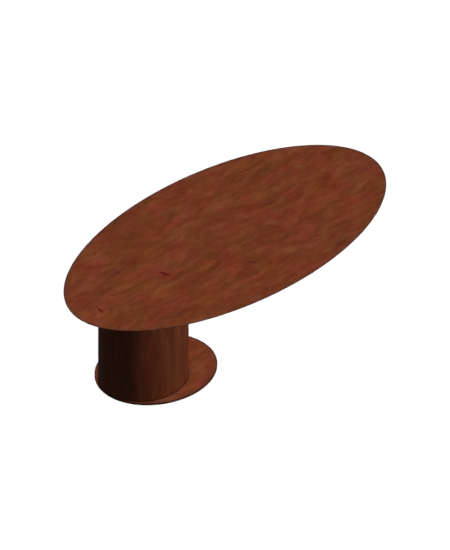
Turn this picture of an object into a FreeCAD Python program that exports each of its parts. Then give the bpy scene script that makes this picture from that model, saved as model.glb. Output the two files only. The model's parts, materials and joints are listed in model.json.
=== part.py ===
# A dining table: an elliptical knife-edge top on one elliptical drum that stands well off centre.
# Millimetres, +Z up. The origin is on the floor under the middle of the top, +X runs along the top to
# its free end, and the drum stands at -X. A steel post inside the drum carries the top on two steel
# channels, and steel plates round the foot of the post balance the overhang.
import FreeCAD, Part
import Sketcher
import os

V = FreeCAD.Vector
UPRIGHT = V(0, 0, 1)

# The driving dimensions: alias, millimetres (degrees where the note says so), what it measures
SIZES = (
    ("top_length", 2700, "long axis of the top"),
    ("top_width", 1400, "short axis of the top"),
    ("table_height", 753, "floor to the upper face"),
    ("face_thickness", 1.5, "sawn face veneer, which is all that shows of the edge"),
    ("arris", 0.4, "rounding of the upper edge"),
    ("core_thickness", 40.5, "core board and lipping"),
    ("bevel_width", 110, "how far in from the rim the under-bevel reaches"),
    ("lipping_shelf", 20, "flat part of the lipping's underside, inside the bevel"),
    ("end_joint_angle", 18, "degrees from the long axis to the first lipping joint"),
    ("side_joint_angle", 58, "degrees from the long axis to the second lipping joint"),
    ("glue_gap", 0.2, "glue line between curved wooden faces"),
    ("end_setback", 264, "end of the top to the outer face of the drum"),
    ("drum_length", 636, "long axis of the drum"),
    ("drum_width", 570, "short axis of the drum"),
    ("drum_wall", 12, "two layers of bent plywood"),
    ("foot_gap", 3, "shadow line between the drum and the base"),
    ("head_gap", 2, "shadow line between the drum and the top"),
    ("former_thickness", 18, "plywood rings inside the drum"),
    ("former_width", 45, "how far in a ring reaches from the drum's wall"),
    ("batten_width", 60, "upright battens behind the wall"),
    ("batten_depth", 25, "how far in a batten reaches"),
    ("notch_clearance", 0.3, "round a batten where it passes the middle ring"),
    ("plate_length", 876, "long axis of the base plate"),
    ("plate_width", 756, "short axis of the base plate"),
    ("plate_lip", 2, "base plate past the drum at the table's end"),
    ("plate_thickness", 8, "steel base plate"),
    ("skin_thickness", 2, "wooden face of the base plate"),
    ("leveller_inset", 60, "rim of the base plate to a leveller's centre"),
    ("pad_diameter", 40, "leveller pad"),
    ("pad_thickness", 3, "leveller pad, which is how high the base plate stands"),
    ("pad_web", 1, "pad material under the stud"),
    ("pad_chamfer", 1, "lower edge of the pad"),
    ("stud_diameter", 10, "leveller stud"),
    ("stud_chamfer", 0.8, "upper end of the stud"),
    ("stud_recess", 0.5, "end of the stud below the plate's upper face"),
    ("thread_clearance", 0.05, "round a thread in its tapped hole"),
    ("post_diameter", 168, "steel post"),
    ("post_wall", 6, "wall of the post"),
    ("foot_flange_diameter", 280, "flange under the post"),
    ("foot_flange_thickness", 15, "flange under the post"),
    ("head_flange_diameter", 260, "flange on top of the post"),
    ("head_flange_thickness", 12, "flange on top of the post"),
    ("flange_edge", 25, "rim of a flange to its bolt holes"),
    ("flange_bolt_diameter", 12, "countersunk bolts of flanges and ballast"),
    ("gusset_height", 90, "gussets at the foot of the post"),
    ("gusset_thickness", 8, "gussets at the foot of the post"),
    ("gusset_toe", 6, "rim of the flange to the gusset"),
    ("gusset_land", 12, "square end of a gusset's sloping edge"),
    ("weld_gap", 0.1, "between a gusset and the round post"),
    ("head_plate_thickness", 10, "plate between the post and the top"),
    ("head_clearance", 10, "head plate to the opening in the drum's rings"),
    ("head_bolt_inner", 95, "drum's centre to the inner head bolts, along the table"),
    ("head_bolt_outer", 150, "drum's centre to the outer head bolts, along the table"),
    ("bolt_diameter", 8, "bolts into the top"),
    ("bolt_clearance", 0.5, "round a bolt in a plain hole"),
    ("bolt_head_diameter", 13, "heads of the bolts into the top"),
    ("cap_height", 8, "cap heads of the head bolts"),
    ("button_height", 4.5, "low heads of the beam bolts"),
    ("washer_diameter", 17, "washers of the head bolts"),
    ("washer_thickness", 1.6, "washers of the head bolts"),
    ("insert_diameter", 13, "threaded inserts in the core"),
    ("insert_length", 20, "threaded inserts in the core"),
    ("insert_spare", 2, "insert length past the end of its bolt"),
    ("beam_end_margin", 250, "end of the top to the end of a beam"),
    ("beam_spacing", 260, "between the beams' centre lines"),
    ("beam_width", 60, "channel"),
    ("beam_depth", 30, "channel"),
    ("beam_wall", 5, "channel"),
    ("beam_clearance", 0.5, "round a beam in its groove"),
    ("beam_bolt_end", 50, "end of a beam to its last bolt"),
    ("beam_bolt_margin", 30, "drum to the nearest beam bolt"),
    ("ballast_thickness", 20, "one ballast plate"),
    ("ballast_clearance", 6, "ballast to the opening in the drum's rings"),
    ("ballast_bore_gap", 5, "ballast to the foot flange"),
    ("nut_height", 10, "nuts on the ballast bolts"),
    ("nut_diameter", 20, "nuts on the ballast bolts, across corners"),
    ("screw_diameter", 5, "screws into the drum"),
    ("screw_spare", 3, "ring thickness past the end of its screw"),
)
BALLAST_PLATES = 5
BEAM_BOLT_ROW = 7
SINK_ANGLE = 90
FLAT_WITHIN = 1e-6

# How many things are set evenly round a centre
LEVELLERS = 6
FOOT_BOLTS = 8
HEAD_FLANGE_BOLTS = 6
BALLAST_BOLTS = 4
DRUM_SCREWS = 6
GUSSETS = 4
NUT_CORNERS = 6

doc = FreeCAD.newDocument("dining_table")
sheet = doc.addObject("Spreadsheet::Sheet", "Sizes")
for row, (alias, number, note) in enumerate(SIZES, 1):
    sheet.set(f"A{row}", note)
    sheet.set(f"B{row}", str(number))
    sheet.setAlias(f"B{row}", alias)
doc.recompute()

# Heights
FACE_Z = "(Sizes.table_height - Sizes.face_thickness)"
UNDERSIDE_Z = f"({FACE_Z} - Sizes.core_thickness)"
HEAD_PLATE_Z = f"({UNDERSIDE_Z} - Sizes.head_plate_thickness)"
HEAD_FLANGE_Z = f"({HEAD_PLATE_Z} - Sizes.head_flange_thickness)"
PLATE_Z = "Sizes.pad_thickness"
PLATE_TOP_Z = "(Sizes.pad_thickness + Sizes.plate_thickness)"
DECK_Z = f"({PLATE_TOP_Z} + Sizes.skin_thickness)"
POST_Z = f"({PLATE_TOP_Z} + Sizes.foot_flange_thickness)"
SHELL_Z = f"({DECK_Z} + Sizes.foot_gap)"
SHELL_TOP_Z = f"({UNDERSIDE_Z} - Sizes.head_gap)"
BATTEN_Z = f"({DECK_Z} + Sizes.former_thickness)"
TOP_FORMER_Z = f"({SHELL_TOP_Z} - Sizes.former_thickness)"
MID_FORMER_Z = f"(({BATTEN_Z} + {TOP_FORMER_Z} - Sizes.former_thickness) / 2)"
BALLAST_TOP_Z = f"({PLATE_TOP_Z} + {BALLAST_PLATES} * Sizes.ballast_thickness)"

# Places along the table
DRUM_X = "(Sizes.end_setback + Sizes.drum_length / 2 - Sizes.top_length / 2)"
DRUM_ON_PLATE = "(Sizes.drum_length / 2 + Sizes.plate_lip - Sizes.plate_length / 2)"
PLATE_X = f"({DRUM_X} - {DRUM_ON_PLATE})"

# Lengths and widths that fit inside one another
LIPPING_WIDTH = "(Sizes.bevel_width + Sizes.lipping_shelf)"
INSIDE_L = "(Sizes.drum_length - 2 * Sizes.drum_wall)"
INSIDE_W = "(Sizes.drum_width - 2 * Sizes.drum_wall)"
FORMER_L = f"({INSIDE_L} - 2 * Sizes.glue_gap)"
FORMER_W = f"({INSIDE_W} - 2 * Sizes.glue_gap)"
OPENING_L = f"({FORMER_L} - 2 * Sizes.former_width)"
OPENING_W = f"({FORMER_W} - 2 * Sizes.former_width)"
HEAD_L = f"({OPENING_L} - 2 * Sizes.head_clearance)"
HEAD_W = f"({OPENING_W} - 2 * Sizes.head_clearance)"
BALLAST_L = f"({OPENING_L} - 2 * Sizes.ballast_clearance)"
BALLAST_W = f"({OPENING_W} - 2 * Sizes.ballast_clearance)"
BALLAST_BORE = "(Sizes.foot_flange_diameter + 2 * Sizes.ballast_bore_gap)"
BALLAST_CIRCLE = f"(({BALLAST_BORE} + {BALLAST_W}) / 2)"
BEAM_L = "(Sizes.top_length - 2 * Sizes.beam_end_margin)"
FOOT_CIRCLE = "(Sizes.foot_flange_diameter - 2 * Sizes.flange_edge)"
HEAD_CIRCLE = "(Sizes.head_flange_diameter - 2 * Sizes.flange_edge)"
SCREW_RING_L = f"({FORMER_L} - Sizes.former_width)"
SCREW_RING_W = f"({FORMER_W} - Sizes.former_width)"
LEVELLER_RING_L = "(Sizes.plate_length - 2 * Sizes.leveller_inset)"
LEVELLER_RING_W = "(Sizes.plate_width - 2 * Sizes.leveller_inset)"

# Fasteners
FLANGE_TAPPED = "(Sizes.flange_bolt_diameter + 2 * Sizes.thread_clearance)"
FLANGE_CLEAR = "(Sizes.flange_bolt_diameter + 2 * Sizes.bolt_clearance)"
FLANGE_HEAD = "(2 * Sizes.flange_bolt_diameter)"
BOLT_TAPPED = "(Sizes.bolt_diameter + 2 * Sizes.thread_clearance)"
BOLT_CLEAR = "(Sizes.bolt_diameter + 2 * Sizes.bolt_clearance)"
INSERT_HOLE = "(Sizes.insert_diameter + 2 * Sizes.thread_clearance)"
INSERT_DEPTH = "(Sizes.beam_wall + Sizes.insert_length)"
BOLT_REACH = f"({INSERT_DEPTH} - Sizes.insert_spare)"
SCREW_CLEAR = "(Sizes.screw_diameter + 2 * Sizes.bolt_clearance)"
SCREW_TAPPED = "(Sizes.screw_diameter + 2 * Sizes.thread_clearance)"
SCREW_HEAD = "(2 * Sizes.screw_diameter)"
SCREW_GRIP = "(Sizes.former_thickness - Sizes.screw_spare)"
STUD_HOLE = "(Sizes.stud_diameter + 2 * Sizes.thread_clearance)"
HEAD_FIT = "(2 * Sizes.thread_clearance)"

pieces = []


def value(expression):
    return float(sheet.evalExpression(expression))


def place(item, x="0", y="0", z="0"):
    for axis, expression in zip("xyz", (x, y, z)):
        if expression != "0":
            item.setExpression(f"Placement.Base.{axis}", expression)


def keep(item, label):
    """Names a finished piece."""
    item.Label = label
    pieces.append(item)
    return item


def new_body(label, x="0", y="0", z="0"):
    body = doc.addObject("PartDesign::Body", label)
    place(body, x, y, z)
    return keep(body, label)


def new_sketch(body, label, role="XY_Plane", lift="0"):
    sketch = body.newObject("Sketcher::SketchObject", f"{body.Name}_{label}")
    plane = next(p for p in body.Origin.OriginFeatures if p.Role == role)
    sketch.AttachmentSupport = [(plane, "")]
    sketch.MapMode = "FlatFace"
    if lift != "0":
        sketch.setExpression("AttachmentOffset.Base.z", lift)
    return sketch


def tie(sketch, kind, places, expression):
    """Adds a dimension to a sketch and ties it to the sheet."""
    index = sketch.addConstraint(Sketcher.Constraint(kind, *places, value(expression)))
    sketch.setExpression(f"Constraints[{index}]", expression)


def fix_point(sketch, curve, end, x, y):
    tie(sketch, "DistanceX", (-1, 1, curve, end), x)
    tie(sketch, "DistanceY", (-1, 1, curve, end), y)


def add_ellipse(sketch, length, width, x="0"):
    """An ellipse with its axes along X and Y, whichever of the two is the longer."""
    centre = V(value(x), 0, 0)
    along = value(length) >= value(width)
    end = centre + V(value(length) / 2, 0, 0)
    side = centre + V(0, value(width) / 2, 0)
    tips = (end, side) if along else (side, end)
    curve = sketch.addGeometry(Part.Ellipse(*tips, centre))
    sketch.exposeInternalGeometry(curve)
    long_axis, short_axis = curve + 1, curve + 2
    sketch.addConstraint(Sketcher.Constraint("Horizontal" if along else "Vertical", long_axis))
    tie(sketch, "Distance", (long_axis,), length if along else width)
    tie(sketch, "Distance", (short_axis,), width if along else length)
    fix_point(sketch, curve, 3, x, "0")


def add_circles(sketch, points, diameter):
    for x, y in points:
        curve = sketch.addGeometry(Part.Circle(V(value(x), value(y), 0), UPRIGHT, value(diameter) / 2))
        fix_point(sketch, curve, 3, x, y)
        tie(sketch, "Diameter", (curve,), diameter)


def add_polygon(sketch, points):
    corners = [V(value(x), value(y), 0) for x, y in points]
    sides = zip(corners[-1:] + corners[:-1], corners)
    lines = [sketch.addGeometry(Part.LineSegment(start, end)) for start, end in sides]
    for line, following, (x, y) in zip(lines, lines[1:] + lines[:1], points):
        sketch.addConstraint(Sketcher.Constraint("Coincident", line, 2, following, 1))
        fix_point(sketch, line, 2, x, y)


def pad(body, sketch, length, down=False, middle=False, taper=0):
    feature = body.newObject("PartDesign::Pad", sketch.Name + "_pad")
    feature.Profile = sketch
    feature.setExpression("Length", length)
    feature.Reversed = down
    feature.Midplane = middle
    feature.TaperAngle = taper
    doc.recompute()
    return feature


def must_cut(body, before):
    doc.recompute()
    if not body.Shape.Volume < before:
        raise RuntimeError(f"a cut in {body.Label} removes nothing")


def pocket_up(body, sketch, depth, middle=False):
    """Cuts upwards from the sketch, or both ways from it along a sketch on an upright plane."""
    before = body.Shape.Volume
    feature = body.newObject("PartDesign::Pocket", sketch.Name + "_pocket")
    feature.Profile = sketch
    feature.setExpression("Length", depth)
    feature.Reversed = not middle
    feature.Midplane = middle
    must_cut(body, before)


def countersink(body, sketch, diameter, head, from_below):
    """Through holes for countersunk heads that lie flush with the sketched face."""
    before = body.Shape.Volume
    hole = body.newObject("PartDesign::Hole", sketch.Name + "_hole")
    hole.Profile = sketch
    doc.recompute()
    hole.ThreadType = "None"
    hole.setExpression("Diameter", diameter)
    hole.DepthType = "ThroughAll"
    hole.HoleCutType = "Countersink"
    hole.setExpression("HoleCutDiameter", head)
    hole.HoleCutCountersinkAngle = SINK_ANGLE
    hole.Reversed = from_below
    must_cut(body, before)


def edges_at(feature, height):
    """The names of a feature's edges that lie flat at one height."""
    names = []
    for number, edge in enumerate(feature.Shape.Edges, 1):
        box = edge.BoundBox
        if abs(box.ZMin - height) < FLAT_WITHIN and abs(box.ZMax - height) < FLAT_WITHIN:
            names.append(f"Edge{number}")
    return names


def angles_round(count, straddling=False):
    """Even angles in degrees. The first lies on the long axis, or two of them straddle it."""
    step = 360 / count
    start = step / 2 if straddling else 0
    return [start + step * number for number in range(count)]


def round_points(angles, length, width, x="0"):
    """Places round an ellipse by angle, as pairs of expressions."""
    return [
        (f"({x} + {length} / 2 * cos({angle} deg))", f"({width} / 2 * sin({angle} deg))")
        for angle in angles
    ]


def ellipse_plate(body, length, width, thickness, opening=None):
    """A flat elliptical plate, or a ring where it has an elliptical opening."""
    outline = new_sketch(body, "outline")
    add_ellipse(outline, length, width)
    if opening:
        add_ellipse(outline, *opening)
    return pad(body, outline, thickness)


def round_plate(body, diameter, thickness, bore=None):
    outline = new_sketch(body, "outline")
    add_circles(outline, [("0", "0")], diameter)
    if bore:
        add_circles(outline, [("0", "0")], bore)
    return pad(body, outline, thickness)


def plain_holes(body, label, points, diameter, depth):
    sketch = new_sketch(body, label)
    add_circles(sketch, points, diameter)
    pocket_up(body, sketch, depth)


def rods(body, label, points, diameter, length, down=False, taper=0, bore=None):
    """One round rod, or tube where there is a bore, at every place."""
    sketch = new_sketch(body, label)
    add_circles(sketch, points, diameter)
    if bore:
        add_circles(sketch, points, bore)
    pad(body, sketch, length, down=down, taper=taper)


def flush_bolts(body, points, diameter, head, length, down=False):
    """Countersunk bolts whose heads lie flush with the body's own floor."""
    face = f"({head} - {HEAD_FIT})"
    rods(body, "heads", points, face, f"(({face} - {diameter}) / 2)", down, -SINK_ANGLE / 2)
    rods(body, "shanks", points, diameter, length, down)


def channel_profile(y, clearance):
    """A channel on its back, its web flush with the ground line, as corners of (across, up)."""
    outer = f"(Sizes.beam_width / 2 + {clearance})"
    inner = f"(Sizes.beam_width / 2 - Sizes.beam_wall - {clearance})"
    rim = f"(Sizes.beam_depth + {clearance})"
    web = "Sizes.beam_wall"
    half = [(outer, "0"), (outer, rim), (inner, rim), (inner, web)]
    left = [(f"({y} + {across})", up) for across, up in half]
    right = [(f"({y} - {across})", up) for across, up in reversed(half)]
    return left + right


def beam_bolt_places():
    """Bolts along one beam, in an even row from its free end to the drum."""
    first = f"({BEAM_L} / 2 - Sizes.beam_bolt_end)"
    last = f"({DRUM_X} + Sizes.drum_length / 2 + Sizes.beam_bolt_margin)"
    steps = BEAM_BOLT_ROW - 1
    return [f"({first} + ({last} - {first}) * {k} / {steps})" for k in range(BEAM_BOLT_ROW)]


def head_bolt_places():
    reaches = ("Sizes.head_bolt_inner", "Sizes.head_bolt_outer")
    return [f"({sign} * {reach})" for reach in reaches for sign in (-1, 1)]


BEAM_SIDES = (("beam_left", "(Sizes.beam_spacing / 2)"), ("beam_right", "(-Sizes.beam_spacing / 2)"))
BEAM_BOLT_POINTS = [(x, y) for _, y in BEAM_SIDES for x in beam_bolt_places()]
HEAD_BOLT_POINTS = [(x, y) for _, y in BEAM_SIDES for x in head_bolt_places()]
FOOT_BOLT_POINTS = round_points(angles_round(FOOT_BOLTS, True), FOOT_CIRCLE, FOOT_CIRCLE)
HEAD_FLANGE_POINTS = round_points(angles_round(HEAD_FLANGE_BOLTS), HEAD_CIRCLE, HEAD_CIRCLE)
BALLAST_POINTS = round_points(angles_round(BALLAST_BOLTS, True), BALLAST_CIRCLE, BALLAST_CIRCLE)
SCREW_POINTS = round_points(angles_round(DRUM_SCREWS, True), SCREW_RING_L, SCREW_RING_W)
LEVELLER_POINTS = round_points(angles_round(LEVELLERS), LEVELLER_RING_L, LEVELLER_RING_W)


def shifted(points, x):
    return [(f"({x} + {across})", along) for across, along in points]


def make_top_face():
    body = new_body("top_face", z=FACE_Z)
    board = ellipse_plate(body, "Sizes.top_length", "Sizes.top_width", "Sizes.face_thickness")
    edge = body.newObject("PartDesign::Fillet", "top_face_arris")
    edge.Base = (board, edges_at(board, value("Sizes.face_thickness")))
    edge.setExpression("Radius", "Sizes.arris")


def within_top(inset):
    """Long and short axes of the ellipse that lies this far inside the rim of the top."""
    return f"(Sizes.top_length - 2 * {inset})", f"(Sizes.top_width - 2 * {inset})"


def make_top_core():
    body = new_body("top_core", z=UNDERSIDE_Z)
    outline = within_top(f"({LIPPING_WIDTH} + Sizes.glue_gap)")
    ellipse_plate(body, *outline, "Sizes.core_thickness")
    grooves = new_sketch(body, "grooves", "YZ_Plane")
    for _, y in BEAM_SIDES:
        add_polygon(grooves, channel_profile(y, "Sizes.beam_clearance"))
    pocket_up(body, grooves, f"({BEAM_L} + 2 * Sizes.beam_clearance)", middle=True)
    plain_holes(body, "beam_inserts", BEAM_BOLT_POINTS, INSERT_HOLE, INSERT_DEPTH)
    plain_holes(body, "head_inserts", shifted(HEAD_BOLT_POINTS, DRUM_X), INSERT_HOLE, INSERT_DEPTH)


def part_ellipse(label, length, width, z="0"):
    curve = doc.addObject("Part::Ellipse", label)
    along = value(length) >= value(width)
    curve.setExpression("MajorRadius", f"{length if along else width} / 2")
    curve.setExpression("MinorRadius", f"{width if along else length} / 2")
    curve.Placement.Rotation = FreeCAD.Rotation(UPRIGHT, 0 if along else 90)
    place(curve, z=z)
    return curve


def ellipse_cylinder(label, length, width, height, x="0", z="0"):
    solid = doc.addObject("Part::Extrusion", label)
    solid.Base = part_ellipse(label + "_outline", length, width)
    solid.DirMode = "Custom"
    solid.Dir = UPRIGHT
    solid.setExpression("LengthFwd", height)
    solid.Solid = True
    place(solid, x, z=z)
    return solid


def combine(kind, label, base, tool):
    result = doc.addObject(kind, label)
    result.Base = base
    result.Tool = tool
    return result


def lipping_ring():
    """The whole bevelled edge: from the full ellipse at its top in to the flat underside."""
    lower = part_ellipse("bevel_foot", *within_top("Sizes.bevel_width"), UNDERSIDE_Z)
    upper = part_ellipse("bevel_rim", *within_top("0"), FACE_Z)
    slope = doc.addObject("Part::Loft", "bevel")
    slope.Sections = [lower, upper]
    slope.Solid = True
    slope.Ruled = True
    bore = within_top(LIPPING_WIDTH)
    inside = ellipse_cylinder("lipping_bore", *bore, "Sizes.core_thickness", z=UNDERSIDE_Z)
    return combine("Part::Cut", "lipping_ring", slope, inside)


def make_lipping():
    """Eight segments, sawn to the curve and butted: one at each end, one at each side, four between."""
    ring = lipping_ring()
    end, side = "Sizes.end_joint_angle", "Sizes.side_joint_angle"
    near = [f"(-{end})", end, side]
    far = [f"(180 - {side})", f"(180 - {end})", f"(180 + {end})", f"(180 + {side})"]
    joints = near + far + [f"(360 - {side})", f"(360 - {end})"]
    for number, (start, stop) in enumerate(zip(joints, joints[1:]), 1):
        sector = doc.addObject("Part::Cylinder", f"sector_{number}")
        sector.setExpression("Radius", "Sizes.top_length")
        sector.setExpression("Height", "Sizes.core_thickness")
        sector.setExpression("Angle", f"({stop} - {start})")
        sector.Placement.Rotation = FreeCAD.Rotation(UPRIGHT, value(start))
        sector.setExpression("Placement.Rotation.Angle", start)
        place(sector, z=UNDERSIDE_Z)
        label = f"lipping_{number}"
        keep(combine("Part::Common", label, ring, sector), label)


def make_beams():
    for label, y in BEAM_SIDES:
        body = new_body(label, y=y, z=UNDERSIDE_Z)
        profile = new_sketch(body, "profile", "YZ_Plane")
        add_polygon(profile, channel_profile("0", "0"))
        pad(body, profile, BEAM_L, middle=True)
        holes = beam_bolt_places() + [f"({DRUM_X} + {x})" for x in head_bolt_places()]
        plain_holes(body, "holes", [(x, "0") for x in holes], BOLT_CLEAR, "Sizes.beam_wall")


def make_inserts():
    groups = (("beam_inserts", BEAM_BOLT_POINTS), ("head_inserts", shifted(HEAD_BOLT_POINTS, DRUM_X)))
    for label, points in groups:
        body = new_body(label, z=f"({UNDERSIDE_Z} + Sizes.beam_wall)")
        rods(body, "sleeves", points, "Sizes.insert_diameter", "Sizes.insert_length", bore=BOLT_TAPPED)


def make_beam_bolts():
    body = new_body("beam_bolts", z=UNDERSIDE_Z)
    rods(body, "heads", BEAM_BOLT_POINTS, "Sizes.bolt_head_diameter", "Sizes.button_height", down=True)
    rods(body, "shanks", BEAM_BOLT_POINTS, "Sizes.bolt_diameter", BOLT_REACH)


def make_head_joint():
    """The plate that carries the top, and what bolts it there."""
    plate = new_body("head_plate", DRUM_X, z=HEAD_PLATE_Z)
    ellipse_plate(plate, HEAD_L, HEAD_W, "Sizes.head_plate_thickness")
    plain_holes(plate, "top_holes", HEAD_BOLT_POINTS, BOLT_CLEAR, "Sizes.head_plate_thickness")
    flush = new_sketch(plate, "flange_holes", lift="Sizes.head_plate_thickness")
    add_circles(flush, HEAD_FLANGE_POINTS, FLANGE_CLEAR)
    countersink(plate, flush, FLANGE_CLEAR, FLANGE_HEAD, from_below=False)

    washers = new_body("head_washers", DRUM_X, z=f"({HEAD_PLATE_Z} - Sizes.washer_thickness)")
    ring = ("Sizes.washer_diameter", "Sizes.washer_thickness")
    rods(washers, "rings", HEAD_BOLT_POINTS, *ring, bore=BOLT_CLEAR)

    bolts = new_body("head_bolts", DRUM_X, z=f"({HEAD_PLATE_Z} - Sizes.washer_thickness)")
    rods(bolts, "heads", HEAD_BOLT_POINTS, "Sizes.bolt_head_diameter", "Sizes.cap_height", down=True)
    reach = f"(Sizes.washer_thickness + Sizes.head_plate_thickness + {BOLT_REACH})"
    rods(bolts, "shanks", HEAD_BOLT_POINTS, "Sizes.bolt_diameter", reach)


def make_post():
    """Tube, two flanges and the gussets at its foot."""
    height = f"({HEAD_FLANGE_Z} - {POST_Z})"
    bore = "(Sizes.post_diameter - 2 * Sizes.post_wall)"
    round_plate(new_body("post_tube", DRUM_X, z=POST_Z), "Sizes.post_diameter", height, bore)

    head = new_body("head_flange", DRUM_X, z=HEAD_FLANGE_Z)
    round_plate(head, "Sizes.head_flange_diameter", "Sizes.head_flange_thickness")
    plain_holes(head, "tapped", HEAD_FLANGE_POINTS, FLANGE_TAPPED, "Sizes.head_flange_thickness")
    head_bolts = new_body("head_flange_bolts", DRUM_X, z=UNDERSIDE_Z)
    grip = "(Sizes.head_plate_thickness + Sizes.head_flange_thickness)"
    flush_bolts(head_bolts, HEAD_FLANGE_POINTS, "Sizes.flange_bolt_diameter", FLANGE_HEAD, grip, down=True)

    foot = new_body("foot_flange", DRUM_X, z=PLATE_TOP_Z)
    round_plate(foot, "Sizes.foot_flange_diameter", "Sizes.foot_flange_thickness")
    plain_holes(foot, "tapped", FOOT_BOLT_POINTS, FLANGE_TAPPED, "Sizes.foot_flange_thickness")
    foot_bolts = new_body("foot_bolts", DRUM_X, z=PLATE_Z)
    grip = "(Sizes.plate_thickness + Sizes.foot_flange_thickness)"
    flush_bolts(foot_bolts, FOOT_BOLT_POINTS, "Sizes.flange_bolt_diameter", FLANGE_HEAD, grip)

    inner = "(Sizes.post_diameter / 2 + Sizes.weld_gap)"
    outer = "(Sizes.foot_flange_diameter / 2 - Sizes.gusset_toe)"
    land = "Sizes.gusset_land"
    height = "Sizes.gusset_height"
    foot_corners = [(inner, "0"), (outer, "0"), (outer, land)]
    outline = foot_corners + [(f"({inner} + {land})", height), (inner, height)]
    for number, angle in enumerate(angles_round(GUSSETS, True), 1):
        body = new_body(f"gusset_{number}", DRUM_X, z=POST_Z)
        body.Placement.Rotation = FreeCAD.Rotation(UPRIGHT, angle)
        sketch = new_sketch(body, "outline", "XZ_Plane")
        add_polygon(sketch, outline)
        pad(body, sketch, "Sizes.gusset_thickness", middle=True)


def make_drum_shell():
    body = new_body("drum_shell", DRUM_X, z=SHELL_Z)
    height = f"({SHELL_TOP_Z} - {SHELL_Z})"
    ellipse_plate(body, "Sizes.drum_length", "Sizes.drum_width", height, (INSIDE_L, INSIDE_W))


def batten_boxes(depth, width):
    """Where the battens stand: at both ends of both axes, as (x, y, size along X, size along Y)."""
    reach_x = f"({FORMER_L} / 2 - {depth})"
    reach_y = f"({FORMER_W} / 2 - {depth})"
    past = f"({depth} + Sizes.drum_wall)"
    half = f"({width} / 2)"
    return (
        (f"({DRUM_X} + {reach_x})", f"(-{half})", past, width),
        (f"({DRUM_X} - {half})", reach_y, width, past),
        (f"({DRUM_X} - {reach_x} - {past})", f"(-{half})", past, width),
        (f"({DRUM_X} - {half})", f"(-{reach_y} - {past})", width, past),
    )


def block(label, x, y, z, size_x, size_y, size_z):
    box = doc.addObject("Part::Box", label)
    for name, expression in zip(("Length", "Width", "Height"), (size_x, size_y, size_z)):
        box.setExpression(name, expression)
    place(box, x, y, z)
    return box


def make_battens():
    """Each is shaped on its outer face to the curve of the drum."""
    height = f"({TOP_FORMER_Z} - {BATTEN_Z})"
    boxes = batten_boxes("Sizes.batten_depth", "Sizes.batten_width")
    for number, (x, y, size_x, size_y) in enumerate(boxes, 1):
        stock = block(f"batten_stock_{number}", x, y, BATTEN_Z, size_x, size_y, height)
        curve = ellipse_cylinder(f"batten_curve_{number}", FORMER_L, FORMER_W, height, DRUM_X, BATTEN_Z)
        label = f"batten_{number}"
        keep(combine("Part::Common", label, curve, stock), label)


def make_formers():
    """The top and bottom rings close the drum, and the middle one is notched for the battens."""
    opening = (OPENING_L, OPENING_W)
    top = new_body("drum_top_former", DRUM_X, z=TOP_FORMER_Z)
    ellipse_plate(top, FORMER_L, FORMER_W, "Sizes.former_thickness", opening)

    bottom = new_body("drum_bottom_former", DRUM_X, z=DECK_Z)
    ellipse_plate(bottom, FORMER_L, FORMER_W, "Sizes.former_thickness", opening)
    plain_holes(bottom, "screw_holes", SCREW_POINTS, SCREW_TAPPED, SCREW_GRIP)

    middle = ("Sizes.former_thickness", DRUM_X, MID_FORMER_Z)
    solid = ellipse_cylinder("mid_former_blank", FORMER_L, FORMER_W, *middle)
    hole = ellipse_cylinder("mid_former_opening", *opening, *middle)
    ring = combine("Part::Cut", "mid_former_ring", solid, hole)
    depth = "(Sizes.batten_depth + Sizes.notch_clearance)"
    width = "(Sizes.batten_width + 2 * Sizes.notch_clearance)"
    for number, (x, y, size_x, size_y) in enumerate(batten_boxes(depth, width), 1):
        size = (size_x, size_y, "Sizes.former_thickness")
        notch = block(f"batten_notch_{number}", x, y, MID_FORMER_Z, *size)
        ring = combine("Part::Cut", f"mid_former_{number}", ring, notch)
    keep(ring, "drum_mid_former")


def make_drum_screws():
    body = new_body("drum_screws", DRUM_X, z=PLATE_Z)
    length = f"(Sizes.plate_thickness + Sizes.skin_thickness + {SCREW_GRIP})"
    flush_bolts(body, SCREW_POINTS, "Sizes.screw_diameter", SCREW_HEAD, length)


def make_ballast():
    for number in range(BALLAST_PLATES):
        lift = f"({PLATE_TOP_Z} + {number} * Sizes.ballast_thickness)"
        body = new_body(f"ballast_plate_{number + 1}", DRUM_X, z=lift)
        ellipse_plate(body, BALLAST_L, BALLAST_W, "Sizes.ballast_thickness")
        plain_holes(body, "bore", [("0", "0")], BALLAST_BORE, "Sizes.ballast_thickness")
        plain_holes(body, "bolt_holes", BALLAST_POINTS, FLANGE_CLEAR, "Sizes.ballast_thickness")

    bolts = new_body("ballast_bolts", DRUM_X, z=PLATE_Z)
    length = f"({BALLAST_TOP_Z} - {PLATE_Z} + Sizes.nut_height)"
    flush_bolts(bolts, BALLAST_POINTS, "Sizes.flange_bolt_diameter", FLANGE_HEAD, length)

    nuts = new_body("ballast_nuts", DRUM_X, z=BALLAST_TOP_Z)
    sketch = new_sketch(nuts, "hexagons")
    for x, y in BALLAST_POINTS:
        corners = round_points(angles_round(NUT_CORNERS), "Sizes.nut_diameter", "Sizes.nut_diameter", x)
        add_polygon(sketch, [(across, f"({y} + {along})") for across, along in corners])
    pad(nuts, sketch, "Sizes.nut_height")
    plain_holes(nuts, "threads", BALLAST_POINTS, FLANGE_TAPPED, "Sizes.nut_height")


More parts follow.
